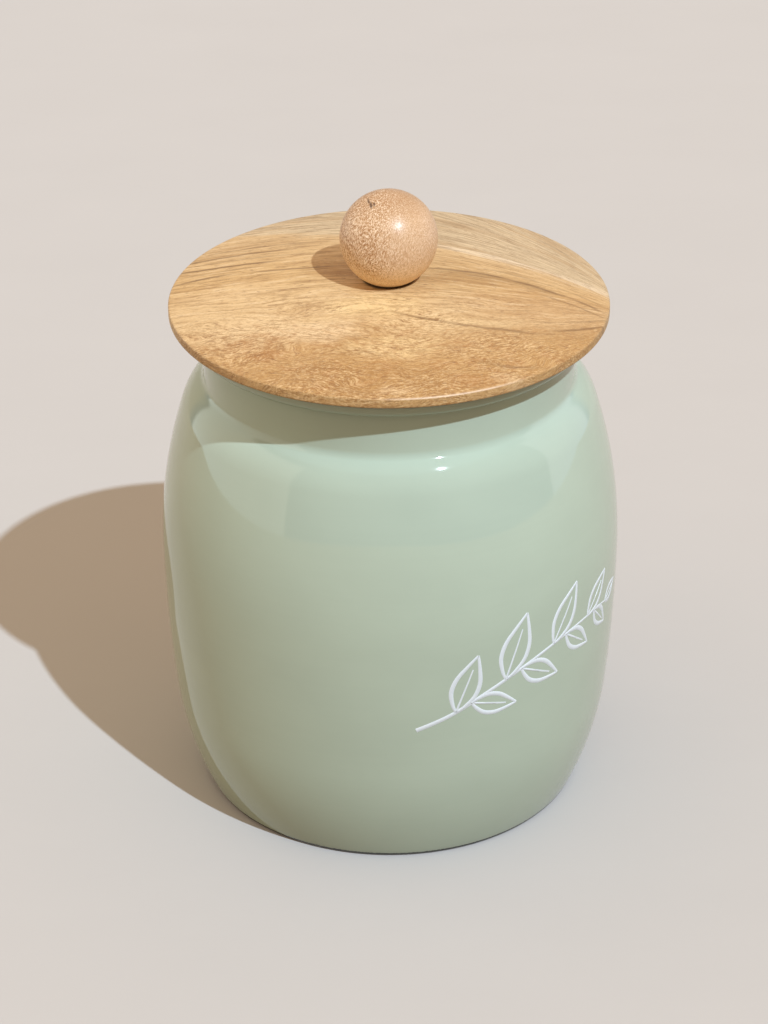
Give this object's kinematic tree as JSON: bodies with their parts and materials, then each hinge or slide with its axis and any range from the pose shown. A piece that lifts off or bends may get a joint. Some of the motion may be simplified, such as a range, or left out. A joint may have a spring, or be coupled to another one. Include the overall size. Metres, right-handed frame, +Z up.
{
  "type": "storage canister",
  "caption": "Barrel-shaped enamelled steel storage jar with a rolled rim and a lift-off domed wooden lid, sealing ring and turned ball knob.",
  "frame": {"origin": "centre of the foot, on the surface that the jar stands on", "axes": "+Z up along the jar's axis of revolution; -Y is the front that faces the viewer, +X to the viewer's right"},
  "size_m": [0.1346, 0.1346, 0.1863],
  "materials": {
    "enamel": "high-gloss sage green enamel",
    "enamel_inside": "gloss sage green enamel",
    "lid_wood": "satin lacquered mango wood, honey brown with dark streaks",
    "plug_wood": "sanded mango wood",
    "knob_wood": "polished pale wood with short flecks",
    "silicone": "translucent white silicone",
    "zinc_steel": "bright zinc-plated steel",
    "print_white": "opaque white printed ink"
  },
  "bodies": {
    "jar": {"jar_shell": "enamel", "base_pan": "enamel_inside"},
    "lid": {"lid_disc": "lid_wood", "lid_plug": "plug_wood", "seal_ring": "silicone", "knob": "knob_wood", "knob_screw": "zinc_steel", "screw_washer": "zinc_steel"}
  },
  "joints": [
    {"name": "lid_lift", "type": "slide", "parent": "jar", "child": "lid", "axis": [0, 0, 1], "range_m": [0, 0.09]}
  ]
}
